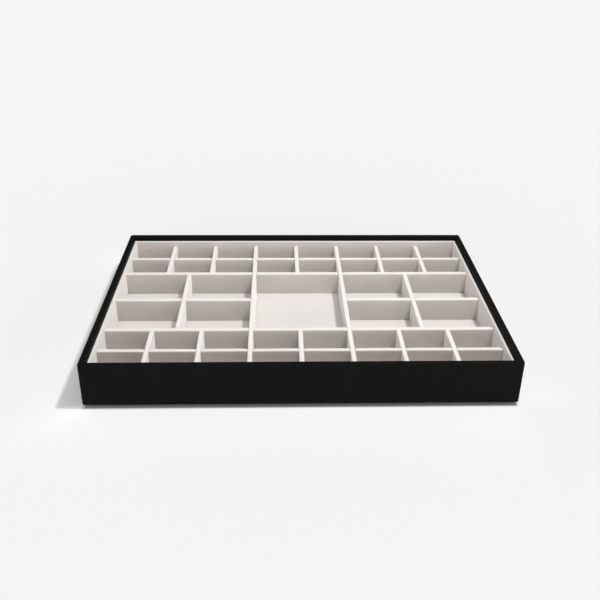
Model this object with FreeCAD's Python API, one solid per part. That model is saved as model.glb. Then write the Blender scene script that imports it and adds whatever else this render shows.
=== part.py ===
import FreeCAD, Part
import os

# Shallow stackable organizer tray with a fixed grid of open compartments.
# Fibreboard walls are wrapped in grained leatherette that turns in over the rim and
# in under the base. A smaller plinth below drops into the rim of a tray underneath.
# Inside are four velvet-covered liner cards, a padded floor, and velvet-covered card
# strips that are half-lapped where they cross and tabbed where they end on a face.
# Millimetres. +X is the width, +Y the rear, +Z up. The origin is the centre of the
# plinth's underside.

Vector = FreeCAD.Vector

# Overall sizes
tray_width = 375.0
tray_depth = 258.0
tray_height = 44.0

# Outer walls and their leatherette wrap
wall_board_thickness = 3.7
wrap_thickness = 0.8
wall_corner_radius = 2.5
rim_edge_radius = 1.1
bottom_edge_radius = 1.6
rim_turn_in = 16.0
bottom_turn_in = 9.0
wrap_seam_gap = 0.3
wrap_seam_from_corner = 14.0
mitre_groove_width = 0.4
mitre_groove_depth = 0.4

# Base board, let into a rabbet along the walls' lower edge
base_board_thickness = 3.0
base_rabbet_depth = 1.5

# Plinth that locates the tray in the rim of the one below
plinth_height = 3.4
plinth_cover_thickness = 0.8
plinth_corner_radius = 3.0
stacking_clearance = 0.8
turn_in_clearance = 0.2

# Liner cards and floor pad
liner_drop = 5.0
liner_card_thickness = 1.2
lining_velvet_thickness = 0.8
liner_edge_radius = 0.7
floor_foam_thickness = 2.4
floor_fit_clearance = 0.2

# Divider strips: a card core inside a folded velvet sleeve
divider_drop = 10.5
divider_core_thickness = 1.4
sleeve_top_thickness = 1.3
divider_thickness = 4.2
main_divider_thickness = 5.0
divider_top_radius = 1.6
divider_end_clearance = 0.1
lap_clearance = 0.1
tab_height = 9.0
tab_clearance = 0.1

# Compartment layout: equal columns, and four shallow rows round two deep middle rows
column_count = 8
small_cell_depth = 29.8

# Heights from the underside up
wall_bottom = plinth_height
base_bottom = wall_bottom + wrap_thickness
base_top = base_bottom + base_board_thickness
foam_top = base_top + floor_foam_thickness
floor_level = foam_top + lining_velvet_thickness
liner_top = tray_height - liner_drop
divider_top = tray_height - divider_drop
lap_level = (floor_level + divider_top) / 2

# Plan sizes from the outside in
rim_width = wall_board_thickness + 2 * wrap_thickness
liner_thickness = liner_card_thickness + lining_velvet_thickness
base_inset = wrap_thickness + wall_board_thickness - base_rabbet_depth
plinth_inset = rim_width + stacking_clearance
inner_half_width = tray_width / 2 - rim_width - liner_thickness
inner_half_depth = tray_depth / 2 - rim_width - liner_thickness

# How far a cutting block runs past the face it opens
overcut = 1.0


def block(x_range, y_range, z_range):
    """Box between two values on each axis."""
    size = [high - low for low, high in (x_range, y_range, z_range)]
    return Part.makeBox(*size, Vector(x_range[0], y_range[0], z_range[0]))


def plan_block(inset, z_range, corner_radius=0.0):
    """Box with the tray's plan drawn in by inset, with rounded upright corners."""
    x = tray_width / 2 - inset
    y = tray_depth / 2 - inset
    shape = block((-x, x), (-y, y), z_range)
    if corner_radius > 0:
        upright = [e for e in shape.Edges if abs(e.tangentAt(e.FirstParameter).z) > 0.9]
        shape = shape.makeFillet(corner_radius, upright)
    return shape


def edges_at(shape, height, inside=None, outside=None):
    """Edges that lie at one height, kept to those inside or outside a given inset."""
    found = []
    for edge in shape.Edges:
        box = edge.BoundBox
        if abs(box.ZMin - height) > 1e-6 or abs(box.ZMax - height) > 1e-6:
            continue
        middle = edge.valueAt((edge.FirstParameter + edge.LastParameter) / 2)
        inset = min(tray_width / 2 - abs(middle.x), tray_depth / 2 - abs(middle.y))
        if inside is not None and inset < inside:
            continue
        if outside is not None and inset > outside:
            continue
        found.append(edge)
    return found


# Outer carcass

def wall_boards():
    """Four mitred boards, rabbeted below for the base board."""
    heights = (base_bottom, tray_height - wrap_thickness)
    ring = plan_block(wrap_thickness, heights, wall_corner_radius - wrap_thickness)
    ring = ring.cut(plan_block(wrap_thickness + wall_board_thickness, heights))
    ring = ring.cut(plan_block(base_inset, (base_bottom, base_top)))
    x = tray_width / 2
    y = tray_depth / 2
    reach = min(x, y)
    corners = {
        "front": [(-x, -y), (x, -y), (x - reach, reach - y), (reach - x, reach - y)],
        "rear": [(x, y), (-x, y), (reach - x, y - reach), (x - reach, y - reach)],
        "left": [(-x, y), (-x, -y), (reach - x, reach - y), (reach - x, y - reach)],
        "right": [(x, -y), (x, y), (x - reach, y - reach), (x - reach, reach - y)],
    }
    boards = {}
    for side, outline in corners.items():
        boards[f"{side}_wall_board"] = ring.common(mitre_wedge(outline, heights))
    return boards


def mitre_wedge(outline, heights):
    """Upright prism over a plan outline; corners that fall together are merged."""
    points = []
    for px, py in outline:
        point = Vector(px, py, heights[0])
        if not points or (point - points[-1]).Length > 1e-6:
            points.append(point)
    face = Part.Face(Part.makePolygon(points + points[:1]))
    return face.extrude(Vector(0, 0, heights[1] - heights[0]))


def base_board():
    return plan_block(base_inset, (base_bottom, base_top))


def outer_wrap():
    """Leatherette skin over the walls, turned in at the rim and under the base."""
    heights = (wall_bottom, tray_height)
    skin = plan_block(0.0, heights, wall_corner_radius)
    skin = skin.cut(plan_block(rim_width, (base_bottom, tray_height + overcut)))
    skin = skin.makeFillet(rim_edge_radius, edges_at(skin, tray_height))
    skin = skin.makeFillet(bottom_edge_radius, edges_at(skin, wall_bottom))
    under = plan_block(bottom_turn_in, (wall_bottom - overcut, base_bottom))
    board_space = plan_block(wrap_thickness, (base_bottom, tray_height - wrap_thickness),
                             wall_corner_radius - wrap_thickness)
    turned_in = plan_block(wrap_thickness + wall_board_thickness,
                           (tray_height - rim_turn_in, tray_height))
    skin = skin.cut([under, board_space.cut(turned_in)])
    return skin.cut([wrap_seam()] + mitre_grooves())


def wrap_seam():
    """Gap where the strip's two ends meet, on the rear wall near its right corner."""
    x = tray_width / 2 - wrap_seam_from_corner
    y = tray_depth / 2
    return block((x, x + wrap_seam_gap), (y - bottom_turn_in - overcut, y + overcut),
                 (wall_bottom - overcut, tray_height + overcut))


def mitre_grooves():
    """Shallow diagonal creases on the rim where the turned-in leatherette is folded."""
    grooves = []
    length = 2 * rim_width
    for sx in (-1, 1):
        for sy in (-1, 1):
            groove = Part.makeBox(length, mitre_groove_width, 2 * mitre_groove_depth,
                                  Vector(-length, -mitre_groove_width / 2, -mitre_groove_depth))
            groove.rotate(Vector(0, 0, 0), Vector(0, 0, 1), 45 if sx == sy else -45)
            if sx < 0:
                groove.rotate(Vector(0, 0, 0), Vector(0, 0, 1), 180)
            groove.translate(Vector(sx * tray_width / 2, sy * tray_depth / 2, tray_height))
            grooves.append(groove)
    return grooves


# Plinth

def plinth_board():
    """Locating board, stepped at its top edge over the turned-in leatherette."""
    lower = plan_block(plinth_inset + plinth_cover_thickness,
                       (plinth_cover_thickness, wall_bottom),
                       plinth_corner_radius - plinth_cover_thickness)
    upper = plan_block(bottom_turn_in + turn_in_clearance, (wall_bottom, base_bottom))
    return lower.fuse(upper).removeSplitter()


def plinth_cover():
    """Felt over the plinth's underside and edges."""
    heights = (0.0, wall_bottom)
    cover = plan_block(plinth_inset, heights, plinth_corner_radius)
    cover = cover.makeFillet(plinth_cover_thickness / 2, edges_at(cover, 0.0))
    return cover.cut(plan_block(plinth_inset + plinth_cover_thickness,
                                (plinth_cover_thickness, wall_bottom + overcut),
                                plinth_corner_radius - plinth_cover_thickness))


# Lining

class Liner:
    """A card stood against one wall, with velvet over its face and its top edge."""

    def __init__(self, side):
        self.side = side
        self.along = "x" if side in ("front", "rear") else "y"
        self.outward = -1 if side in ("front", "left") else 1
        half = inner_half_depth if self.along == "x" else inner_half_width
        self.face = self.outward * half
        self.half_length = inner_half_width + liner_thickness
        if self.along == "y":
            self.half_length = inner_half_depth
        self.slots = []

    def layer(self, near, far, z_range):
        """Slab between two distances behind the velvet face."""
        across = sorted((self.face + self.outward * near, self.face + self.outward * far))
        along = (-self.half_length, self.half_length)
        if self.along == "x":
            return block(along, across, z_range)
        return block(across, along, z_range)

    def card(self):
        card = self.layer(lining_velvet_thickness, liner_thickness,
                          (base_top, liner_top - lining_velvet_thickness))
        return card.cut(self.slots) if self.slots else card

    def velvet(self):
        cover = self.layer(0.0, liner_thickness, (base_top, liner_top))
        rounded = [e for e in edges_at(cover, liner_top) if e.Length > liner_thickness * 2]
        cover = cover.makeFillet(liner_edge_radius, rounded)
        behind = self.layer(lining_velvet_thickness, liner_thickness + overcut,
                            (base_top - overcut, liner_top - lining_velvet_thickness))
        return cover.cut([behind] + self.slots)


def floor_layer(z_range):
    """Sheet of the floor pad, dropped in between the liner cards."""
    inset = rim_width + liner_thickness + floor_fit_clearance
    return plan_block(inset, z_range)


# Divider strips

class Strip:
    """A covered card strip that stands on the floor pad along one axis."""

    def __init__(self, name, along, line, start, end, thickness=divider_thickness):
        self.name = name
        self.along = along
        self.line = line
        self.start = start
        self.end = end
        self.thickness = thickness
        self.cuts = []
        self.tabs = []

    def piece(self, span, width, z_range):
        """Box on the strip's line, over a span of its length."""
        across = (self.line - width / 2, self.line + width / 2)
        if self.along == "x":
            return block(span, across, z_range)
        return block(across, span, z_range)

    def half_lap(self, other):
        """Notch where another strip crosses: from above if this one runs across."""
        half = other.thickness / 2 + lap_clearance
        heights = (lap_level - lap_clearance / 2, divider_top + overcut)
        if self.along == "y":
            heights = (floor_level - overcut, lap_level + lap_clearance / 2)
        span = (other.line - half, other.line + half)
        self.cuts.append(self.piece(span, self.thickness + 2 * overcut, heights))

    def add_tab(self, end, direction, depth):
        """Card tab past one end; returns the slot that it needs in what it enters."""
        middle = lap_level
        tip = end + direction * (divider_end_clearance + depth - tab_clearance)
        span = sorted((end, tip))
        heights = (middle - tab_height / 2, middle + tab_height / 2)
        self.tabs.append(self.piece(span, divider_core_thickness, heights))
        slot_span = sorted((end, end + direction * (divider_end_clearance + depth)))
        slot_heights = (heights[0] - tab_clearance, heights[1] + tab_clearance)
        return self.piece(slot_span, divider_core_thickness + 2 * tab_clearance, slot_heights)

    def core(self):
        body = self.piece((self.start, self.end), divider_core_thickness,
                          (floor_level, divider_top - sleeve_top_thickness))
        if self.cuts:
            body = body.cut(self.cuts)
        if self.tabs:
            body = body.fuse(self.tabs).removeSplitter()
        return body

    def sleeve(self):
        """Velvet folded over the core, with a rounded top edge."""
        inside = self.piece((self.start, self.end), divider_core_thickness,
                            (floor_level, divider_top - sleeve_top_thickness))
        return self.rounded_bar().cut([inside] + self.cuts)

    def rounded_bar(self):
        half = self.thickness / 2
        radius = divider_top_radius
        shoulder = divider_top - radius
        lift = radius * (1 - 0.5 ** 0.5)
        left_arc = Part.Arc(self.at(-half, shoulder), self.at(lift - half, divider_top - lift),
                            self.at(radius - half, divider_top))
        right_arc = Part.Arc(self.at(half - radius, divider_top),
                             self.at(half - lift, divider_top - lift), self.at(half, shoulder))
        outline = [
            Part.makeLine(self.at(-half, floor_level), self.at(-half, shoulder)),
            left_arc.toShape(),
            Part.makeLine(self.at(radius - half, divider_top), self.at(half - radius, divider_top)),
            right_arc.toShape(),
            Part.makeLine(self.at(half, shoulder), self.at(half, floor_level)),
            Part.makeLine(self.at(half, floor_level), self.at(-half, floor_level)),
        ]
        length = self.end - self.start
        run = Vector(length, 0, 0) if self.along == "x" else Vector(0, length, 0)
        return Part.Face(Part.Wire(outline)).extrude(run)

    def at(self, across, height):
        """Point of the end section, from its distance off the strip's line."""
        if self.along == "x":
            return Vector(self.start, self.line + across, height)
        return Vector(self.line + across, self.start, height)


def column_line(number):
    """Centre of the divider at the right of a column, counted from the left."""
    pitch = (2 * inner_half_width + divider_thickness) / column_count
    return -inner_half_width - divider_thickness / 2 + number * pitch


def divider_strips():
    """Every strip of the grid, with its run between the faces that stop it."""
    gap = divider_end_clearance
    across_end = inner_half_width - gap
    depth_end = inner_half_depth - gap
    outer_line = inner_half_depth - small_cell_depth - divider_thickness / 2
    main_line = outer_line - divider_thickness / 2 - small_cell_depth - main_divider_thickness / 2
    main_front = main_line - main_divider_thickness / 2 - gap
    main_rear = main_line + main_divider_thickness / 2 + gap
    left_long = column_line(3)
    right_long = column_line(column_count - 3)
    long_side = divider_thickness / 2 + gap
    strips = [
        Strip("rear_cross_divider", "x", outer_line, -across_end, across_end),
        Strip("rear_main_divider", "x", main_line, -across_end, across_end, main_divider_thickness),
        Strip("left_middle_divider", "x", 0.0, -across_end, left_long - long_side,
              main_divider_thickness),
        Strip("right_middle_divider", "x", 0.0, right_long + long_side, across_end,
              main_divider_thickness),
        Strip("front_main_divider", "x", -main_line, -across_end, across_end,
              main_divider_thickness),
        Strip("front_cross_divider", "x", -outer_line, -across_end, across_end),
        Strip("left_long_divider", "y", left_long, -depth_end, depth_end),
        Strip("right_long_divider", "y", right_long, -depth_end, depth_end),
        Strip("left_wide_cell_divider", "y", column_line(1.5), -main_front, main_front),
        Strip("right_wide_cell_divider", "y", column_line(column_count - 1.5),
              -main_front, main_front),
    ]
    for number in range(1, column_count):
        line = column_line(number)
        if line in (left_long, right_long):
            continue
        strips.append(Strip(f"rear_column_divider_{number}", "y", line, main_rear, depth_end))
        strips.append(Strip(f"front_column_divider_{number}", "y", line, -depth_end, -main_rear))
    return strips


def join_strips(strips):
    """Half-lap the strips that cross, and tab the ones that end on another's face."""
    across = [s for s in strips if s.along == "x"]
    lengthwise = [s for s in strips if s.along == "y"]
    for first in across:
        for second in lengthwise:
            first_runs_past = first.start < second.line < first.end
            second_runs_past = second.start < first.line < second.end
            if first_runs_past and second_runs_past:
                first.half_lap(second)
                second.half_lap(first)
            elif first_runs_past:
                tab_into_strip(second, first)
            elif second_runs_past:
                tab_into_strip(first, second)


def tab_into_strip(strip, other):
    """Tab the end of a strip that stops at the other's face, if one does."""
    reach = other.thickness / 2 + 2 * divider_end_clearance
    depth = (other.thickness + divider_core_thickness) / 2
    if abs(strip.end - other.line) < reach:
        other.cuts.append(strip.add_tab(strip.end, 1, depth))
    elif abs(strip.start - other.line) < reach:
        other.cuts.append(strip.add_tab(strip.start, -1, depth))


def tab_into_liners(strips, liners):
    """Tab every strip end that stops at a liner."""
    for strip in strips:
        low_side, high_side = ("left", "right") if strip.along == "x" else ("front", "rear")
        low, high = liners[low_side], liners[high_side]
        if abs(strip.start - low.face) < 2 * divider_end_clearance:
            low.slots.append(strip.add_tab(strip.start, -1, liner_thickness))
        if abs(strip.end - high.face) < 2 * divider_end_clearance:
            high.slots.append(strip.add_tab(strip.end, 1, liner_thickness))


def build_tray():
    """All the tray's pieces by node name."""
    pieces = wall_boards()
    pieces["base_board"] = base_board()
    pieces["outer_wrap"] = outer_wrap()
    pieces["plinth_board"] = plinth_board()
    pieces["plinth_cover"] = plinth_cover()
    pieces["floor_foam"] = floor_layer((base_top, foam_top))
    pieces["floor_velvet"] = floor_layer((foam_top, floor_level))

    strips = divider_strips()
    liners = {side: Liner(side) for side in ("front", "rear", "left", "right")}
    join_strips(strips)
    tab_into_liners(strips, liners)
    for side, liner in liners.items():
        pieces[f"{side}_liner_card"] = liner.card()
        pieces[f"{side}_liner_velvet"] = liner.velvet()
    for strip in strips:
        pieces[f"{strip.name}_core"] = strip.core()
        pieces[f"{strip.name}_sleeve"] = strip.sleeve()
    return pieces


os.makedirs("parts", exist_ok=True)
for node, shape in build_tray().items():
    solids = shape.Solids
    if len(solids) != 1 or not shape.isValid():
        raise ValueError(f"{node} is not one valid solid")
    solids[0].exportStep(f"parts/{node}.step")
    print(f"{node}: {solids[0].Volume / 1000:.2f} cm3")
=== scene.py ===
import bmesh
import bpy
from math import cos, e, exp, pi, radians, sin
from mathutils import Matrix, Vector, noise


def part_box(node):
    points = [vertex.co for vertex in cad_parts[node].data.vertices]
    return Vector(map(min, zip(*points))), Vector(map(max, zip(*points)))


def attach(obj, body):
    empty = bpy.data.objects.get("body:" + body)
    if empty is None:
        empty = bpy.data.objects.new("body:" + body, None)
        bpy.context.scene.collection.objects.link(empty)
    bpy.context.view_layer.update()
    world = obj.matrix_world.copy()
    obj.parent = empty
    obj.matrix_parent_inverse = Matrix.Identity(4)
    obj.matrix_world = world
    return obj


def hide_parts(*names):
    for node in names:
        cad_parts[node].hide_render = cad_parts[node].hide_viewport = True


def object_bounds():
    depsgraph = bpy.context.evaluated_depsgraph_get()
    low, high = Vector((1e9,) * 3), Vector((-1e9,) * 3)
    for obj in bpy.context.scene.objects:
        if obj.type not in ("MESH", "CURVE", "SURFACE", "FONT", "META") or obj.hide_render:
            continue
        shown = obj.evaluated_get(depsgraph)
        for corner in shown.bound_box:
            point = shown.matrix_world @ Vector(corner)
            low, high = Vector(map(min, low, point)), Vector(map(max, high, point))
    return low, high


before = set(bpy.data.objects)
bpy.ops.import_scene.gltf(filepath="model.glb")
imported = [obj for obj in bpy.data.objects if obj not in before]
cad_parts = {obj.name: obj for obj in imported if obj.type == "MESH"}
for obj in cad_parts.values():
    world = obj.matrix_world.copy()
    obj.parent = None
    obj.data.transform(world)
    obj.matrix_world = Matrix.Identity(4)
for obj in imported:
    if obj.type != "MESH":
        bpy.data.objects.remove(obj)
cad_low, cad_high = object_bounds()

# Shallow stackable organizer tray: black grained leatherette outside, pale velvet inside.
# Metres. +X is the width, +Y the rear, +Z up.
MM = 0.001
SIDES = ("front", "rear", "left", "right")
# How far two points may differ and still be at one height, on one line or on one cut
LEVEL_SLACK = 0.001 * MM
LINE_SLACK = 0.01 * MM
CUT_SLACK = 0.0001 * MM
# Edges between faces that meet at more degrees than this stay sharp
SHARP_ANGLE = 42

# Divider sleeves
SLEEVE_ROUND = 1.0 * MM
SLEEVE_ROUND_STEPS = 5
SLEEVE_LOOP_STEP = 6.0 * MM
SLEEVE_LOOPS_BESIDE_LAP = (0.7 * MM, 1.6 * MM, 3.0 * MM)
# Loops round a strip: above its foot, above its laps and below its top
SLEEVE_LOOP_HEIGHTS = (6 * MM, 2 * MM, 5 * MM)
SLEEVE_SEED = 0.37
SLEEVE_WAVE = 0.16 * MM
SLEEVE_FACE_WAVE_LENGTH = 21 * MM
SLEEVE_FACE_WAVE_AT_FOOT = 0.3
SLEEVE_BEND = 0.8
SLEEVE_BEND_LENGTH = 60 * MM
SLEEVE_TOP_WAVE_LENGTH = 34 * MM
# Share of a strip's height, at its top, that follows the wave of its fold
SLEEVE_TOP_SHARE = 0.2
# Velvet drawn in next to the ends and to the strips that cross
PINCH = 0.45 * MM
PINCH_REACH = 1.6 * MM
PINCH_ON_SIDES = 0.4
PINCH_WHERE_TOP_RUNS_THROUGH = 0.25
LAP_GAP = 0.22 * MM
NOTCH_MARGIN = 1 * MM

# Liner covers
LINER_ROUND = 0.85 * MM
LINER_ROUND_STEPS = 4
LINER_LOOP_STEP = 7.0 * MM
LINER_LOOP_RISE = 6.0 * MM
LINER_SEED = 0.53
LINER_WAVE = 0.14 * MM
LINER_FACE_WAVE_LENGTH = 26 * MM
LINER_TOP_WAVE_LENGTH = 45 * MM
LINER_TOP_SHARE = 0.1
# How deep the ripple of a cover's face goes into it
LINER_SKIN = 0.6 * MM

# Floor pad
PAD_LOOP_STEP = 3.4 * MM
PAD_LOOP_BESIDE_WALL = 0.8 * MM
PAD_LOOP_FROM_END = 0.1 * MM
# A strip or liner longer than this on an axis lies along it, and needs no loops across that axis
PAD_WIDEST_WALL = 8 * MM
PAD_CROWN = 0.35 * MM
PAD_CROWN_REACH = 3.0 * MM
PAD_TUCK = 0.25 * MM
PAD_WAVE = 0.12
PAD_WAVE_LENGTH = 24 * MM
FOAM_SWELL = 0.9
VELVET_SWELL = 1.0

# Outer wrap
WRAP_THICKNESS = 0.8 * MM
WRAP_TURN_DOWN = 16.0 * MM
WRAP_TURN_UNDER = 9.0 * MM
WRAP_CORNER = 2.5 * MM
WRAP_CORNER_STEPS = 6
WRAP_RIM_ROUND = 0.5 * MM
WRAP_RIM_STEPS = 4
WRAP_BOTTOM_ROUND = 1.2 * MM
WRAP_BOTTOM_STEPS = 5
WRAP_LOOP_STEP = 9.0 * MM
WRAP_LOOP_RISE = 10 * MM
WRAP_LOOP_FROM_END = 5 * MM
WRAP_LOOP_ABOVE_FOOT = 3 * MM
WRAP_LOOP_BELOW_RIM = 2 * MM
WRAP_WAVE = 0.10 * MM
WRAP_FACE_WAVE_LENGTH = 33 * MM
WRAP_RIM_WAVE_LENGTH = 40 * MM
# A point further out than this share of the half width or depth is on an outer face
WRAP_FACE_FROM = 0.985
SEAM_FROM_CORNER = 14.0 * MM
SEAM_HALF_WIDTH = 0.2 * MM
SEAM_DEPTH = 0.35 * MM
SEAM_SKIN = 0.3 * MM
CREASE_WIDTH = 0.28 * MM
CREASE_DEPTH = 0.30 * MM
CREASE_FACES_BELOW_RIM = 2 * MM

# Underside
PLINTH_CORNER = 3.0 * MM
PLINTH_CORNER_STEPS = 5
PLINTH_EDGE = 0.6 * MM
PLINTH_EDGE_STEPS = 3
PLINTH_LOOP_STEP = 16 * MM
PLINTH_LOOP_FROM_END = 4 * MM


# Node graphs written as expressions

def in_use(sockets, key):
    """The socket with this name or number, of those that the node's settings leave in use."""
    usable = [s for s in sockets if s.enabled]
    return usable[key] if isinstance(key, int) else next(s for s in usable if s.name == key)


class Socket:
    """A shader output that can be used in arithmetic."""

    def __init__(self, graph, link):
        self.graph = graph
        self.link = link

    def math(self, operation, *values):
        return self.graph.node("ShaderNodeMath", {"operation": operation}, values)

    def __add__(self, other):
        return self.math("ADD", self, other)

    def __sub__(self, other):
        return self.math("SUBTRACT", self, other)

    def __mul__(self, other):
        return self.math("MULTIPLY", self, other)

    def __truediv__(self, other):
        return self.math("DIVIDE", self, other)

    def __pow__(self, other):
        return self.math("POWER", self, other)

    def __rsub__(self, other):
        return self.math("SUBTRACT", other, self)

    def __rtruediv__(self, other):
        return self.math("DIVIDE", other, self)

    def __rpow__(self, other):
        return self.math("POWER", other, self)

    def __neg__(self):
        return self * -1.0

    def __abs__(self):
        return self.math("ABSOLUTE", self)

    __radd__ = __add__
    __rmul__ = __mul__

    def at_least(self, other):
        return self.math("MAXIMUM", self, other)

    def at_most(self, other):
        return self.math("MINIMUM", self, other)

    def clamped(self, low=0.0, high=1.0):
        return self.at_least(low).at_most(high)

    def step_between(self, low, high):
        """0 below low, 1 above high, and a smooth rise between."""
        settings = {"interpolation_type": "SMOOTHSTEP"}
        return self.graph.node("ShaderNodeMapRange", settings, [self, low, high])


class Graph:
    """The node tree of one material or of the world."""

    def __init__(self, tree):
        self.tree = tree
        tree.nodes.clear()

    def node(self, kind, settings=None, values=(), output=0):
        """Adds a node; its values go to its sockets in order, or by name if they are a dict."""
        made = self.tree.nodes.new(kind)
        for name, value in (settings or {}).items():
            setattr(made, name, value)
        keyed = values if isinstance(values, dict) else dict(enumerate(values))
        for key, value in keyed.items():
            self.plug(in_use(made.inputs, key), value)
        return Socket(self, in_use(made.outputs, output)) if made.outputs else None

    def plug(self, target, value):
        if isinstance(value, Socket):
            self.tree.links.new(value.link, target)
        else:
            target.default_value = value

    def place(self):
        return self.node("ShaderNodeTexCoord", output="Object")

    def part(self, vector, axis):
        return self.node("ShaderNodeSeparateXYZ", None, [vector], axis)

    def noise(self, vector, scale, detail=3.0, roughness=0.5):
        """Cloudy pattern with scale waves to the metre."""
        return self.node("ShaderNodeTexNoise", None, {
            "Vector": vector, "Scale": scale, "Detail": detail, "Roughness": roughness})

    def cells(self, vector, scale, feature="F1", randomness=1.0):
        """Cell pattern with scale cells to the metre."""
        return self.node("ShaderNodeTexVoronoi", {"feature": feature}, {
            "Vector": vector, "Scale": scale, "Randomness": randomness})

    def mix(self, factor, first, second):
        return self.node("ShaderNodeMix", {"data_type": "RGBA"}, {
            "Factor": factor, "A": first, "B": second})

    def bump(self, height, distance, strength):
        return self.node("ShaderNodeBump", None, {
            "Height": height, "Distance": distance, "Strength": strength})

    def show(self, shader, kind="ShaderNodeOutputMaterial"):
        self.node(kind, None, {"Surface": shader})


def new_material(name):
    material = bpy.data.materials.new(name)
    material.use_nodes = True
    return material, Graph(material.node_tree)


def principled(graph, color, roughness, normal, **fixed):
    """Ends a material; the fixed values are the same all over its surface."""
    values = {"Base Color": color, "Roughness": roughness, "Normal": normal}
    values.update({name.replace("_", " "): value for name, value in fixed.items()})
    graph.show(graph.node("ShaderNodeBsdfPrincipled", None, values))


# Finishes. Scales are waves or cells per metre, and colours are linear.

PEBBLE_SCALE = 1050.0
PEBBLE_GROOVE = 0.02
PEBBLE_FACE = 0.32
PEBBLE_HEIGHT = 0.75
PEBBLE_UNEVENNESS = 0.25
LEATHERETTE_ROUGHNESS = 0.64
LEATHERETTE_GLOSS_RANGE = 0.14
LEATHERETTE_GROOVE_SHADE = (0.0028, 0.0027, 0.0026, 1.0)
LEATHERETTE_FACE = (0.0082, 0.0079, 0.0076, 1.0)


def leatherette():
    """Black coated fabric, embossed with small uneven pebbles."""
    material, g = new_material("black_leatherette")
    place = g.place()
    wander = g.noise(place, scale=900.0, detail=2.0)
    from_groove = g.cells(place, PEBBLE_SCALE, feature="DISTANCE_TO_EDGE", randomness=0.95)
    pebble = from_groove.step_between(PEBBLE_GROOVE, PEBBLE_FACE)
    cloud = g.noise(place, scale=45.0)
    height = pebble * PEBBLE_HEIGHT + wander * PEBBLE_UNEVENNESS
    normal = g.bump(height, distance=0.16 * MM, strength=0.8)
    # Painted shade: the grooves between pebbles are darker; the cloud gives an uneven tone
    paleness = (pebble * 0.6 + cloud * 0.5).clamped()
    color = g.mix(paleness, LEATHERETTE_GROOVE_SHADE, LEATHERETTE_FACE)
    roughness = LEATHERETTE_ROUGHNESS - pebble * LEATHERETTE_GLOSS_RANGE
    roughness = roughness + (cloud - 0.5) * LEATHERETTE_GLOSS_RANGE
    principled(g, color, roughness.clamped(0.3, 0.9), normal, Specular_IOR_Level=0.05)
    return material


PILE_TIPS = (0.900, 0.865, 0.835, 1.0)
PILE_TIP_SHARE = 0.10
OPENED_PILE_AND_TOP_LIGHT = (0.800, 0.762, 0.725, 1.0)
OPENED_AND_TOP_LIGHT_SHARE = 0.8
# Below the top of a fold
FOLD_BEGINS = 1.3 * MM
FOLD_IS_OPEN = 0.4 * MM
PILE_ROUGHNESS = 0.88
PILE_ROUGHNESS_RANGE = 0.16
# Painted shade: strips and liners that run along X, whose broad faces face front and back, get a
# darker copy of the velvet's tones, and those that run along Y get a paler one
FRONT_FACING_SHADED_TONES = ((0.615, 0.570, 0.532, 1.0), (0.566, 0.522, 0.485, 1.0))
SIDE_FACING_TONES = ((0.722, 0.684, 0.650, 1.0), (0.668, 0.628, 0.594, 1.0))
FLOOR_NAP = ((0.722, 0.694, 0.666, 1.0), (0.673, 0.644, 0.615, 1.0))


def velvet(name, tones, fold_height=None):
    """Short dense pile, with brushed patches, fine fibre ends and a paler band at the top of a fold,
    partly opened pile and partly painted light on the tops.
    """
    material, g = new_material(name)
    pale, deep = tones
    place = g.place()
    brushed = g.noise(place, scale=38.0, detail=4.0, roughness=0.55)
    patches = g.noise(place, scale=9.0, detail=2.0)
    fibres = g.noise(place, scale=2600.0, detail=2.0, roughness=0.7)
    tufts = g.noise(place, scale=700.0, roughness=0.6)
    paleness = brushed.step_between(0.30, 0.72) * 0.45 + patches * 0.25 + tufts * 0.30
    color = g.mix(paleness.clamped(), deep, pale)
    tips = fibres.step_between(0.62, 0.80) * PILE_TIP_SHARE
    color = g.mix(tips, color, PILE_TIPS)
    if fold_height is not None:
        z = g.part(place, 2)
        # Paler top band: partly the pile opened over the fold, partly painted light on the tops
        opened = z.step_between(fold_height - FOLD_BEGINS, fold_height - FOLD_IS_OPEN)
        color = g.mix(opened * OPENED_AND_TOP_LIGHT_SHARE, color, OPENED_PILE_AND_TOP_LIGHT)
    normal = g.bump(fibres * 0.5 + tufts * 0.5, distance=0.22 * MM, strength=0.5)
    roughness = PILE_ROUGHNESS + (tufts - 0.5) * PILE_ROUGHNESS_RANGE
    principled(g, color, roughness.clamped(0.7, 1.0), normal, Sheen_Weight=1.0,
               Sheen_Roughness=0.5, Sheen_Tint=(1.0, 0.99, 0.98, 1.0), Specular_IOR_Level=0.15)
    return material


def felt():
    """Thin pressed felt with short crossed fibres."""
    material, g = new_material("underside_felt")
    place = g.place()
    clumps = g.noise(place, scale=160.0, detail=5.0, roughness=0.65)
    fibres = g.noise(place, scale=1500.0, roughness=0.8)
    dark, pale = (0.055, 0.051, 0.048, 1.0), (0.115, 0.108, 0.102, 1.0)
    color = g.mix((clumps * 0.6 + fibres * 0.4).clamped(), dark, pale)
    normal = g.bump(clumps * 0.4 + fibres * 0.6, distance=0.3 * MM, strength=0.6)
    principled(g, color, 0.95, normal, Sheen_Weight=0.2, Specular_IOR_Level=0.2)
    return material


def fibreboard():
    """Raw pressed wood fibre."""
    material, g = new_material("raw_fibreboard")
    place = g.place()
    flecks = g.noise(place, scale=420.0, detail=6.0, roughness=0.75)
    cloud = g.noise(place, scale=18.0, detail=2.0)
    dark, pale = (0.150, 0.085, 0.042, 1.0), (0.380, 0.245, 0.135, 1.0)
    color = g.mix((flecks * 0.7 + cloud * 0.3).clamped(), dark, pale)
    principled(g, color, 0.85, g.bump(flecks, distance=0.2 * MM, strength=0.5))
    return material


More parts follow.
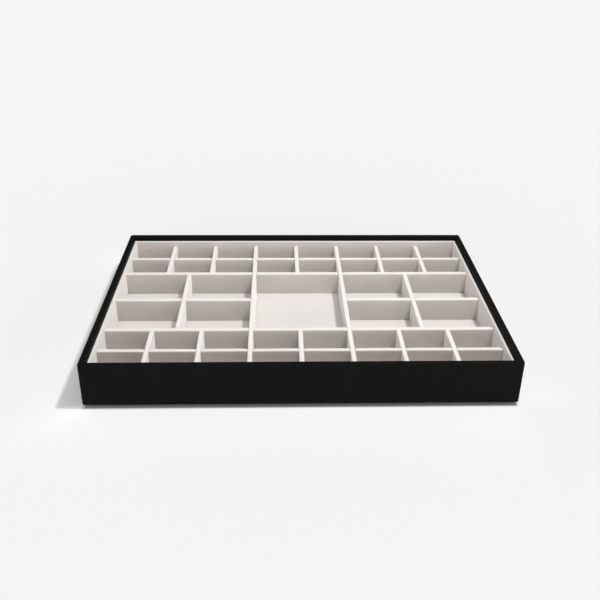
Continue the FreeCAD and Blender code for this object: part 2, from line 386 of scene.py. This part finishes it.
def grey_card():
    """Raw recycled card with paper flecks."""
    material, g = new_material("raw_card")
    place = g.place()
    flecks = g.noise(place, scale=800.0, detail=4.0, roughness=0.7)
    beside_specks = g.cells(place, scale=380.0).step_between(0.04, 0.12)
    dark, pale = (0.135, 0.118, 0.096, 1.0), (0.245, 0.220, 0.185, 1.0)
    speck = (0.06, 0.052, 0.045, 1.0)
    color = g.mix(beside_specks, speck, g.mix(flecks, dark, pale))
    principled(g, color, 0.9, g.bump(flecks, distance=0.1 * MM, strength=0.5))
    return material


def open_foam():
    """Cut foam sheet with open cells."""
    material, g = new_material("foam_sheet")
    pores = g.cells(g.place(), scale=1300.0).step_between(0.15, 0.6)
    # Painted shade: the open cells are darker than the foam's skin
    skin, pore_shade = (0.72, 0.70, 0.62, 1.0), (0.42, 0.40, 0.34, 1.0)
    color = g.mix(pores, skin, pore_shade)
    principled(g, color, 0.95, g.bump(1 - pores, distance=0.3 * MM, strength=0.8))
    return material


DIVIDER_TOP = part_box("rear_main_divider_sleeve")[1].z
LINER_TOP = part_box("rear_liner_velvet")[1].z
LEATHERETTE = leatherette()
# Two each: for pieces along X, with painted shade, and for pieces along Y
SLEEVE_VELVETS = [velvet("sleeve_velvet_painted_shade", FRONT_FACING_SHADED_TONES, DIVIDER_TOP),
                  velvet("sleeve_velvet_side_facing", SIDE_FACING_TONES, DIVIDER_TOP)]
LINER_VELVETS = [velvet("liner_velvet_across_nap", FRONT_FACING_SHADED_TONES, LINER_TOP),
                 velvet("liner_velvet_along_nap", SIDE_FACING_TONES, LINER_TOP)]
FLOOR_VELVET = velvet("floor_velvet_nap", FLOOR_NAP)
FELT = felt()
FIBREBOARD = fibreboard()
CARD = grey_card()
FOAM = open_foam()


# Mesh helpers

def block(low, high):
    """bmesh of a box between two corners."""
    bm = bmesh.new()
    bmesh.ops.create_cube(bm, size=1.0)
    bmesh.ops.scale(bm, vec=high - low, verts=bm.verts)
    bmesh.ops.translate(bm, vec=(low + high) / 2, verts=bm.verts)
    return bm


def slice_along(bm, axis, places):
    """Adds an edge loop across the mesh at each place on one axis."""
    normal = Vector((0, 0, 0))
    normal[axis] = 1.0
    for place in places:
        bmesh.ops.bisect_plane(bm, geom=bm.verts[:] + bm.edges[:] + bm.faces[:], dist=CUT_SLACK,
                               plane_co=normal * place, plane_no=normal)


def steps(low, high, step):
    """Evenly spaced places strictly between two values."""
    count = max(1, round((high - low) / step))
    return [low + (high - low) * i / count for i in range(1, count)]


def round_edges(bm, edges, offset, segments):
    bmesh.ops.bevel(bm, geom=edges, offset=offset, segments=segments, profile=0.5,
                    affect="EDGES", material=-1, clamp_overlap=True)


def edges_where(bm, test):
    return [edge for edge in bm.edges if test(*[v.co for v in edge.verts])]


def long_top_edges(bm, axis, top):
    """The edges at the top that run along the piece."""
    return edges_where(bm, lambda a, b: (
        min(a.z, b.z) > top - LEVEL_SLACK and abs(a[axis] - b[axis]) > MM))


def mesh_of(bm, name):
    """Mesh of a bmesh, which is used up."""
    mesh = bpy.data.meshes.new(name)
    bm.to_mesh(mesh)
    bm.free()
    return mesh


def add_object(name, data):
    made = bpy.data.objects.new(name, data)
    bpy.context.scene.collection.objects.link(made)
    return made


def as_piece(bm, name, material, node):
    """Turns a bmesh into a shown piece that stands for its CAD node."""
    piece = add_object(name, mesh_of(bm, name))
    piece.data.materials.append(material)
    piece.data.shade_smooth()
    piece.data.set_sharp_from_angle(angle=radians(SHARP_ANGLE))
    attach(piece, "root")
    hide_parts(node)
    return piece


# Shift of every wave in y and z, so that it doesn't start at the noise's own zero point
WAVE_SHIFT = (3.1, 7.7)


def wave(point, length, seed):
    """Smooth noise from -1 to 1 with a given wavelength; the seed shifts it in x."""
    return noise.noise(Vector(point) / length + Vector((seed, *WAVE_SHIFT)))


def seed_from(node, spread):
    return sum(ord(letter) for letter in node) * spread


# Divider sleeves

SLEEVES = sorted(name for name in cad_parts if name.endswith("_sleeve"))


def runs_along(node):
    """0 for a strip along X, 1 for a strip along Y."""
    low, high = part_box(node)
    return 0 if high.x - low.x > high.y - low.y else 1


def crossings(node):
    """(place, half width) along a strip for each strip that passes through it."""
    axis = runs_along(node)
    across = 1 - axis
    low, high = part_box(node)
    own_middle = (low[across] + high[across]) / 2
    found = []
    for other in SLEEVES:
        other_low, other_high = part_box(other)
        middle = (other_low[axis] + other_high[axis]) / 2
        here = low[axis] < middle < high[axis]
        there = other_low[across] < own_middle < other_high[across]
        if runs_along(other) != axis and here and there:
            found.append((middle, (other_high[axis] - other_low[axis]) / 2))
    return found


def notch_block(node, place, half_width, lap):
    """The space in one strip that a crossing strip fills: its upper half along X."""
    axis = runs_along(node)
    low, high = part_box(node)
    margin = Vector((NOTCH_MARGIN, NOTCH_MARGIN, NOTCH_MARGIN))
    low, high = low - margin, high + margin
    low[axis] = place - half_width - LAP_GAP
    high[axis] = place + half_width + LAP_GAP
    if axis == 0:
        low.z = lap - LAP_GAP
    else:
        high.z = lap
    return block(low, high)


def cut_out(bm, cutters, name):
    """bmesh with the cutting blocks taken away."""
    joined = bmesh.new()
    for cutter in cutters:
        part = mesh_of(cutter, "part")
        joined.from_mesh(part)
        bpy.data.meshes.remove(part)
    body = add_object(name, mesh_of(bm, name))
    tool = add_object(name + "_cut", mesh_of(joined, name + "_cut"))
    cut = body.modifiers.new("cut", "BOOLEAN")
    cut.operation = "DIFFERENCE"
    cut.solver = "EXACT"
    cut.object = tool
    bpy.context.view_layer.update()
    result = bmesh.new()
    result.from_mesh(body.evaluated_get(bpy.context.evaluated_depsgraph_get()).to_mesh())
    for made in (body, tool):
        mesh = made.data
        bpy.data.objects.remove(made)
        bpy.data.meshes.remove(mesh)
    return result


def soften_sleeve(bm, node, places):
    """Draws the velvet in at crossings and ends, and lets it wander a little between."""
    axis = runs_along(node)
    across = 1 - axis
    low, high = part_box(node)
    middle = (low[across] + high[across]) / 2
    height = high.z - low.z
    seed = seed_from(node, SLEEVE_SEED)
    at_crossing = 1.0 if axis == 0 else PINCH_WHERE_TOP_RUNS_THROUGH
    pulled = [(low[axis], 1.0), (high[axis], 1.0)]
    for place, half_width in places:
        pulled += [(place - half_width, at_crossing), (place + half_width, at_crossing)]
    for v in bm.verts:
        along = v.co[axis]
        pull = min(1.0, sum(w * exp(-((along - p) / PINCH_REACH) ** 2) for p, w in pulled))
        up = max(0.0, (v.co.z - low.z) / height)
        side = 1.0 if v.co[across] > middle else -1.0
        swell = SLEEVE_WAVE * wave(v.co, SLEEVE_FACE_WAVE_LENGTH, seed + side)
        swell *= SLEEVE_FACE_WAVE_AT_FOOT + (1 - SLEEVE_FACE_WAVE_AT_FOOT) * up
        v.co[across] += side * (swell - PINCH * PINCH_ON_SIDES * pull)
        bend = wave((along, 0, 0), SLEEVE_BEND_LENGTH, seed + 11)
        v.co[across] += SLEEVE_WAVE * SLEEVE_BEND * up * bend
        rise = SLEEVE_WAVE * wave((along, 0, 0), SLEEVE_TOP_WAVE_LENGTH, seed + 5)
        near_top = max(0.0, up - (1 - SLEEVE_TOP_SHARE)) / SLEEVE_TOP_SHARE
        v.co.z += near_top * (rise - PINCH * pull)


def divider_sleeve(node):
    """Velvet folded over a card strip, half-lapped where it crosses others."""
    axis = runs_along(node)
    low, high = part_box(node)
    lap = (low.z + high.z) / 2
    bm = block(low, high)
    round_edges(bm, long_top_edges(bm, axis, high.z), SLEEVE_ROUND, SLEEVE_ROUND_STEPS)
    places = crossings(node)
    loops = steps(low[axis], high[axis], SLEEVE_LOOP_STEP)
    for place, half_width in places + [(low[axis], 0.0), (high[axis], 0.0)]:
        for beside in SLEEVE_LOOPS_BESIDE_LAP:
            loops += [place - (half_width + beside), place + (half_width + beside)]
    inside = [p for p in loops if low[axis] + LINE_SLACK < p < high[axis] - LINE_SLACK]
    slice_along(bm, axis, sorted(inside))
    above_foot, above_lap, below_top = SLEEVE_LOOP_HEIGHTS
    slice_along(bm, 2, [low.z + above_foot, lap + above_lap, high.z - below_top])
    if places:
        bm = cut_out(bm, [notch_block(node, p, w, lap) for p, w in places], node)
    soften_sleeve(bm, node, places)
    name = node.replace("_sleeve", "_velvet_sleeve")
    return as_piece(bm, name, SLEEVE_VELVETS[axis], node)


# Liner covers

def liner_velvet(node):
    """Velvet over one liner card, rolled over its top edge."""
    low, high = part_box(node)
    axis = runs_along(node)
    across = 1 - axis
    facing = -1.0 if (low[across] + high[across]) > 0 else 1.0
    bm = block(low, high)
    round_edges(bm, long_top_edges(bm, axis, high.z), LINER_ROUND, LINER_ROUND_STEPS)
    slice_along(bm, axis, steps(low[axis], high[axis], LINER_LOOP_STEP))
    slice_along(bm, 2, steps(low.z, high.z - LINER_ROUND * 1.5, LINER_LOOP_RISE))
    seed = seed_from(node, LINER_SEED)
    inner = high[across] if facing > 0 else low[across]
    for v in bm.verts:
        up = (v.co.z - low.z) / (high.z - low.z)
        near = max(0.0, 1.0 - abs(v.co[across] - inner) / LINER_SKIN)
        ripple = LINER_WAVE * wave(v.co, LINER_FACE_WAVE_LENGTH, seed)
        v.co[across] += facing * near * ripple
        rise = LINER_WAVE * wave((v.co[axis], 0, 0), LINER_TOP_WAVE_LENGTH, seed + 2)
        v.co.z += max(0.0, up - (1 - LINER_TOP_SHARE)) / LINER_TOP_SHARE * rise
    name = node.replace("_velvet", "_velvet_cover")
    return as_piece(bm, name, LINER_VELVETS[axis], node)


# Floor pad

def wall_distance(x, y, walls):
    """Distance in plan from a point to the nearest divider or liner."""
    nearest = 1.0
    for low, high in walls:
        dx = max(low.x - x, 0.0, x - high.x)
        dy = max(low.y - y, 0.0, y - high.y)
        nearest = min(nearest, (dx * dx + dy * dy) ** 0.5)
    return nearest


def floor_pad(node, name, material, swell):
    """A padded sheet that swells a little in each compartment."""
    low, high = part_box(node)
    walls = [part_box(n) for n in SLEEVES + [f"{side}_liner_velvet" for side in SIDES]]
    bm = block(low, high)
    for axis in (0, 1):
        loops = steps(low[axis], high[axis], PAD_LOOP_STEP)
        for wall_low, wall_high in walls:
            if wall_high[axis] - wall_low[axis] <= PAD_WIDEST_WALL:
                loops += [wall_low[axis] - PAD_LOOP_BESIDE_WALL, wall_low[axis],
                          wall_high[axis], wall_high[axis] + PAD_LOOP_BESIDE_WALL]
        first, last = low[axis] + PAD_LOOP_FROM_END, high[axis] - PAD_LOOP_FROM_END
        apart = sorted(set(round(place, 5) for place in loops))
        slice_along(bm, axis, [place for place in apart if first < place < last])
    for v in bm.verts:
        if v.co.z < high.z - LEVEL_SLACK:
            continue
        tucked = exp(-wall_distance(v.co.x, v.co.y, walls) / PAD_CROWN_REACH)
        ripple = PAD_WAVE * wave((v.co.x, v.co.y, 0), PAD_WAVE_LENGTH, 4.0)
        v.co.z += swell * (PAD_CROWN * (1.0 - tucked) * (1.0 + ripple) - PAD_TUCK * tucked)
    as_piece(bm, name, material, node)


# Outer wrap

def ring_places(inset, z, half_x, half_y):
    """Points of one ring round the tray, with every corner an arc or, far inside, a point."""
    radius = max(0.0, WRAP_CORNER - inset)
    reach = max(inset, WRAP_CORNER)
    places = []
    for corner, (sx, sy) in enumerate([(1, 1), (-1, 1), (-1, -1), (1, -1)]):
        for step in range(WRAP_CORNER_STEPS + 1):
            angle = pi / 2 * (corner + step / WRAP_CORNER_STEPS)
            places.append(Vector((sx * (half_x - reach) + radius * cos(angle),
                                  sy * (half_y - reach) + radius * sin(angle), z)))
    return places


def carry_round(half_x, half_y, profile):
    """bmesh of a closed (inset, height) profile carried round the tray's outline."""
    bm = bmesh.new()
    ring = [bm.verts.new(place) for place in ring_places(*profile[0], half_x, half_y)]
    edges = [bm.edges.new((ring[i - 1], ring[i])) for i in range(len(ring))]
    for inset, z in profile[1:] + profile[:1]:
        number = {v: i for i, v in enumerate(ring)}
        made = bmesh.ops.extrude_edge_only(bm, edges=edges)["geom"]
        fresh = {v for v in made if isinstance(v, bmesh.types.BMVert)}
        edges = [part for part in made
                 if isinstance(part, bmesh.types.BMEdge) and set(part.verts) <= fresh]
        following = [None] * len(ring)
        for v in fresh:
            beside = [edge.other_vert(v) for edge in v.link_edges]
            source = [other for other in beside if other in number]
            following[number[source[0]]] = v
        for v, place in zip(following, ring_places(inset, z, half_x, half_y)):
            v.co = place
        ring = following
    bmesh.ops.remove_doubles(bm, verts=bm.verts, dist=LEVEL_SLACK)
    bmesh.ops.recalc_face_normals(bm, faces=bm.faces)
    return bm


def quarter(centre, radius, turn, count):
    """Quarter circle in the wrap's section, from one tangent point to the next."""
    return [(centre[0] - radius * cos(turn + pi / 2 * i / count),
             centre[1] + radius * sin(turn + pi / 2 * i / count)) for i in range(count + 1)]


def wrap_profile(low_z, high_z, rim):
    """Section of the wrap: inset from the outer face, and height."""
    skin = WRAP_THICKNESS
    hem, edge = WRAP_BOTTOM_ROUND, WRAP_RIM_ROUND
    turned_down = high_z - WRAP_TURN_DOWN
    return [
        (WRAP_TURN_UNDER, low_z + skin), (WRAP_TURN_UNDER, low_z),
        *quarter((hem, low_z + hem), hem, -pi / 2, WRAP_BOTTOM_STEPS),
        *quarter((edge, high_z - edge), edge, 0.0, WRAP_RIM_STEPS),
        *quarter((rim - edge, high_z - edge), edge, pi / 2, WRAP_RIM_STEPS),
        (rim, turned_down), (rim - skin, turned_down), (rim - skin, high_z - skin),
        (skin, high_z - skin), (skin, low_z + skin),
    ]


def rear_seam(bm, high):
    """Narrow groove where the wrap's two ends meet on the rear wall."""
    x = high.x - SEAM_FROM_CORNER
    slice_along(bm, 0, [x - SEAM_HALF_WIDTH, x, x + SEAM_HALF_WIDTH])
    for v in bm.verts:
        if abs(v.co.x - x) < LINE_SLACK and v.co.y > high.y - SEAM_SKIN:
            v.co.y -= SEAM_DEPTH


def relax_wrap(bm, high):
    """Lets the outer faces and the rim wander a little, always inwards."""
    for v in bm.verts:
        sink = WRAP_WAVE * (0.5 + 0.5 * wave(v.co, WRAP_FACE_WAVE_LENGTH, 2.0))
        for axis in (0, 1):
            if abs(v.co[axis] / high[axis]) > WRAP_FACE_FROM:
                v.co[axis] -= sink if v.co[axis] > 0 else -sink
        if v.co.z > high.z - LINE_SLACK:
            v.co.z -= WRAP_WAVE * (0.5 + 0.5 * wave(v.co, WRAP_RIM_WAVE_LENGTH, 9.0))


def crease_rim_corners(bm, high, rim):
    """Mitred folds across the rim at the four corners."""
    for sx in (-1, 1):
        for sy in (-1, 1):
            corner = Vector((sx * high.x, sy * high.y, high.z))
            across = Vector((sx, -sy, 0)).normalized()
            for offset in (-CREASE_WIDTH, 0.0, CREASE_WIDTH):
                faces = [f for f in bm.faces if all(
                    v.co.z > high.z - CREASE_FACES_BELOW_RIM
                    and (v.co.xy - corner.xy).length < 3 * rim for v in f.verts)]
                around = {part for f in faces for part in (*f.verts, *f.edges)}
                bmesh.ops.bisect_plane(bm, geom=[*faces, *around], dist=CUT_SLACK,
                                       plane_co=corner + across * offset, plane_no=across)
            for v in bm.verts:
                near = (v.co - corner).length < 2 * rim
                if near and abs((v.co - corner).dot(across)) < LINE_SLACK:
                    up = 1.0 - (high.z - v.co.z) / WRAP_RIM_ROUND
                    v.co.z -= CREASE_DEPTH * max(0.0, up)


def outer_wrap():
    """Leatherette round the four walls, turned in over the rim and in under the base."""
    low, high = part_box("outer_wrap")
    rim = high.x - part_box("right_liner_velvet")[1].x
    bm = carry_round(high.x, high.y, wrap_profile(low.z, high.z, rim))
    for axis in (0, 1):
        first, last = low[axis] + WRAP_LOOP_FROM_END, high[axis] - WRAP_LOOP_FROM_END
        slice_along(bm, axis, steps(first, last, WRAP_LOOP_STEP))
    lowest, highest = low.z + WRAP_LOOP_ABOVE_FOOT, high.z - WRAP_LOOP_BELOW_RIM
    slice_along(bm, 2, steps(lowest, highest, WRAP_LOOP_RISE))
    rear_seam(bm, high)
    relax_wrap(bm, high)
    crease_rim_corners(bm, high, rim)
    return as_piece(bm, "leatherette_wrap", LEATHERETTE, "outer_wrap")


# Underside

def plinth_cover():
    """Felt tray round the plinth board."""
    low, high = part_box("plinth_cover")
    board_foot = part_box("plinth_board")[0].z
    bm = block(low, high)
    upright = edges_where(bm, lambda a, b: abs(a.z - b.z) > MM)
    round_edges(bm, upright, PLINTH_CORNER, PLINTH_CORNER_STEPS)
    top = [f for f in bm.faces if f.calc_center_median().z > high.z - LEVEL_SLACK]
    felt_thickness = board_foot - low.z
    bmesh.ops.inset_region(bm, faces=top, thickness=felt_thickness, use_even_offset=True)
    bmesh.ops.translate(bm, vec=(0, 0, board_foot - high.z),
                        verts=list({v for f in top for v in f.verts}))
    lower = edges_where(bm, lambda a, b: max(a.z, b.z) < low.z + LEVEL_SLACK)
    round_edges(bm, lower, PLINTH_EDGE, PLINTH_EDGE_STEPS)
    for axis in (0, 1):
        first, last = low[axis] + PLINTH_LOOP_FROM_END, high[axis] - PLINTH_LOOP_FROM_END
        slice_along(bm, axis, steps(first, last, PLINTH_LOOP_STEP))
    return as_piece(bm, "felt_plinth_cover", FELT, "plinth_cover")


# Pieces

HARD_FINISHES = {"_board": FIBREBOARD, "_core": CARD, "_card": CARD}


def dress_hard_nodes():
    """Gives the boards and card cores that stay as CAD their finishes."""
    for name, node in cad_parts.items():
        for ending, material in HARD_FINISHES.items():
            if not name.endswith(ending):
                continue
            if not node.data.materials:
                node.data.materials.append(material)
            for place in node.material_slots:
                place.material = material


dress_hard_nodes()
outer_wrap()
plinth_cover()
floor_pad("floor_foam", "foam_pad", FOAM, FOAM_SWELL)
floor_pad("floor_velvet", "floor_velvet_sheet", FLOOR_VELVET, VELVET_SWELL)
for side in SIDES:
    liner_velvet(f"{side}_liner_velvet")
for sleeve in SLEEVES:
    divider_sleeve(sleeve)


# Camera, solved from the photograph's edges. Angles are in degrees.

CAMERA_PLACE = Vector((-21.3, -641.6, 400.6)) * MM
CAMERA_YAW = 1.95
CAMERA_PITCH = 26.38
CAMERA_ROLL = 0.80
CAMERA_FOCAL_PIXELS = 742.0
CAMERA_CENTRE_ROW = 255.0
FRAME_PIXELS = 600.0
SENSOR_WIDTH = 36.0


def add_camera():
    data = bpy.data.cameras.new("camera")
    data.sensor_width = SENSOR_WIDTH
    data.lens = CAMERA_FOCAL_PIXELS / FRAME_PIXELS * SENSOR_WIDTH
    data.shift_y = (CAMERA_CENTRE_ROW - FRAME_PIXELS / 2) / FRAME_PIXELS
    data.clip_start = 0.01
    data.clip_end = 60.0
    camera = add_object("camera", data)
    turn = Matrix.Rotation(radians(-CAMERA_YAW), 4, "Z")
    tilt = Matrix.Rotation(radians(90 - CAMERA_PITCH), 4, "X")
    roll = Matrix.Rotation(radians(CAMERA_ROLL), 4, "Z")
    camera.matrix_world = Matrix.Translation(CAMERA_PLACE) @ turn @ tilt @ roll
    bpy.context.scene.camera = camera


# Light: one small lamp above right of the tray's front, and a soft room round it

LAMP_PLACE = Vector((330.0, -148.0, 1007.0)) * MM
LAMP_RADIUS = 0.042
# The lamp's part of the light at the floor's middle, where 1 is white
LAMP_SHARE = 0.53
LEFT_SCREEN = 1.05
RIGHT_SCREEN = 1.30
FRONT_SCREEN = 2.40
# The screens' edges, as the height of a direction, where 1 is straight up
SCREEN_TOP_FADE = (0.2, 0.5)
SCREEN_FOOT_FADE = (-0.02, 0.02)
OVERHEAD = 1.72
OVERHEAD_FOCUS = 4
# Light that one unit of each brings to the floor, where 1 is white
SCREEN_ON_FLOOR = 0.0295
OVERHEAD_ON_FLOOR = 1 / 3
WHITE = 0.913
PALEST_FLOOR = 0.93
FLOOR_HALF_WIDTH = 9.0
# The floor's shade is thinned beside the tray, less in the lee of the lamp, not under the tray,
# and not off the corners on the lamp's side, where little of the room is hidden
SHADE_LIFT = 0.23
SHADE_REACH = 20.0 * MM
LIFT_FROM = -1.5 * MM
LIFT_WHOLE = 2.5 * MM
LEE_LIFT = 0.4
LEE_FADE = 8.0 * MM
LEE_WIDTH = 18.0 * MM
CORNER_FADE = 20.0 * MM


def add_lamp():
    """A round lamp whose power gives the floor's middle its share of light."""
    data = bpy.data.lights.new("lamp", "POINT")
    data.shadow_soft_size = LAMP_RADIUS
    distance = LAMP_PLACE.length
    facing = LAMP_PLACE.z / distance
    data.energy = LAMP_SHARE * 4 * pi * pi * distance ** 2 / facing
    add_object("lamp", data).location = LAMP_PLACE


def add_room():
    """Soft surroundings: pale screens low round the front and sides, and a soft box overhead."""
    world = bpy.data.worlds.new("room")
    world.use_nodes = True
    bpy.context.scene.world = world
    g = Graph(world.node_tree)
    direction = g.node("ShaderNodeTexCoord", output="Generated")
    x, y, z = [g.part(direction, axis) for axis in range(3)]
    left, right, front = (-x).clamped(), x.clamped(), (-y).clamped()
    low = (1 - z.step_between(*SCREEN_TOP_FADE)) * z.step_between(*SCREEN_FOOT_FADE)
    screens = LEFT_SCREEN * left * left + RIGHT_SCREEN * right * right + FRONT_SCREEN * front * front
    level = screens * low + OVERHEAD * z.clamped() ** OVERHEAD_FOCUS
    room = g.node("ShaderNodeBackground", None, [level, 1.0])
    seen = g.node("ShaderNodeBackground", None, [(WHITE, WHITE, WHITE, 1.0), 1.0])
    camera_ray = g.node("ShaderNodeLightPath", output="Is Camera Ray")
    shader = g.node("ShaderNodeMixShader", None, [camera_ray, room, seen])
    g.show(shader, "ShaderNodeOutputWorld")


def open_floor_light(x, y):
    """Light on the floor where nothing stands in its way, where 1 is white."""
    dx, dy = x - LAMP_PLACE.x, y - LAMP_PLACE.y
    distance = (dx * dx + dy * dy + LAMP_PLACE.z ** 2) ** 0.5
    lamp_light = LAMP_SHARE * (LAMP_PLACE.length / distance) ** 3
    screens = (LEFT_SCREEN + RIGHT_SCREEN + FRONT_SCREEN) * SCREEN_ON_FLOOR
    return lamp_light + screens + OVERHEAD * OVERHEAD_ON_FLOOR


def shade_thinning(x, y):
    """Glow beside the tray that the photograph's pale shade needs."""
    off_x, off_y = abs(x) - cad_high.x, abs(y) - cad_high.y
    outside = off_x.at_least(off_y)
    thinning = SHADE_LIFT * e ** (-outside.clamped() / SHADE_REACH)
    thinning = thinning * outside.step_between(LIFT_FROM, LIFT_WHOLE)
    lee = (-x - cad_high.x).step_between(0.0, MM) * (-off_y).step_between(0.0, LEE_FADE)
    lee = lee * (1 - off_x.step_between(LEE_WIDTH, LEE_WIDTH + LEE_FADE))
    off_both = off_x.at_most(off_y)
    corner = x.step_between(0.0, MM) * off_both.step_between(-CORNER_FADE, CORNER_FADE)
    return thinning * (1 - (1 - LEE_LIFT) * lee) * (1 - corner)


def add_floor():
    """Pale sweep that looks evenly white away from the tray and keeps its shadow."""
    bm = bmesh.new()
    bmesh.ops.create_grid(bm, x_segments=2, y_segments=2, size=FLOOR_HALF_WIDTH)
    sweep = add_object("floor", mesh_of(bm, "floor"))
    material, g = new_material("pale_sweep")
    place = g.place()
    x, y = g.part(place, 0), g.part(place, 1)
    light = open_floor_light(x, y)
    albedo = (WHITE / light).clamped(0.0, PALEST_FLOOR)
    lift = (WHITE - albedo * light).clamped() + shade_thinning(x, y)
    diffuse = g.node("ShaderNodeBsdfDiffuse", None, [albedo, 0.0])
    camera_ray = g.node("ShaderNodeLightPath", output="Is Camera Ray")
    glow = g.node("ShaderNodeEmission", None, [lift * camera_ray, 1.0])
    g.show(g.node("ShaderNodeAddShader", None, [diffuse, glow]))
    sweep.data.materials.append(material)


add_camera()
add_lamp()
add_room()
add_floor()
bpy.context.scene.view_settings.view_transform = "Standard"
